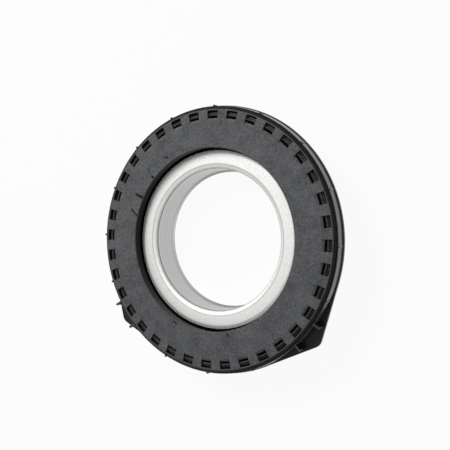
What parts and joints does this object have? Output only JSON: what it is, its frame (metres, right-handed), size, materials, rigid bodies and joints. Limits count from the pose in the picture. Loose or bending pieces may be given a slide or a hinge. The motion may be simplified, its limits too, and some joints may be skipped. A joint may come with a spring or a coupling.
{
  "type": "strut mount bearing",
  "caption": "Flat strut mount thrust bearing: black pocketed disc that turns on balls over a ribbed two-lobed plate, with a flanged steel sleeve in the bore.",
  "frame": {"origin": "on the bore's axis, in the plane of the hub's end that the part rests on", "axes": "+Z along the bore out of the upper housing's face, -Y midway between the two lobes"},
  "size_m": [0.1348, 0.1348, 0.0221],
  "materials": {
    "upper_plastic": "fine moulded texture, slightly satin",
    "lower_plastic": "fine moulded texture, slightly satin",
    "sleeve_steel": "blasted satin",
    "race_steel": "ground",
    "ball_steel": "polished",
    "cage_plastic": "satin",
    "seal_rubber": "matt"
  },
  "bodies": {
    "lower": {"lower_housing": "lower_plastic", "steel_sleeve": "sleeve_steel", "lower_race": "race_steel", "inner_seal": "seal_rubber"},
    "upper": {"upper_housing": "upper_plastic", "upper_race": "race_steel", "outer_seal": "seal_rubber"},
    "balls_and_cage": {"ball_cage": "cage_plastic", "ball_01": "ball_steel", "ball_02": "ball_steel", "ball_03": "ball_steel", "ball_04": "ball_steel", "ball_05": "ball_steel", "ball_06": "ball_steel", "ball_07": "ball_steel", "ball_08": "ball_steel", "ball_09": "ball_steel", "ball_10": "ball_steel", "ball_11": "ball_steel", "ball_12": "ball_steel", "ball_13": "ball_steel", "ball_14": "ball_steel", "ball_15": "ball_steel", "ball_16": "ball_steel", "ball_17": "ball_steel", "ball_18": "ball_steel", "ball_19": "ball_steel", "ball_20": "ball_steel", "ball_21": "ball_steel", "ball_22": "ball_steel", "ball_23": "ball_steel", "ball_24": "ball_steel", "ball_25": "ball_steel", "ball_26": "ball_steel", "ball_27": "ball_steel", "ball_28": "ball_steel", "ball_29": "ball_steel", "ball_30": "ball_steel", "ball_31": "ball_steel", "ball_32": "ball_steel", "ball_33": "ball_steel", "ball_34": "ball_steel", "ball_35": "ball_steel", "ball_36": "ball_steel"}
  },
  "joints": [
    {"name": "upper_turn", "type": "hinge", "parent": "lower", "child": "upper", "pos_m": [0, 0, 0.0124], "axis": [0, 0, 1], "continuous": true},
    {"name": "cage_turn", "type": "hinge", "parent": "lower", "child": "balls_and_cage", "pos_m": [0, 0, 0.0124], "axis": [0, 0, 1], "continuous": true}
  ],
  "couplings": [
    {"joint": "cage_turn", "follows": "upper_turn", "ratio": 0.5}
  ]
}
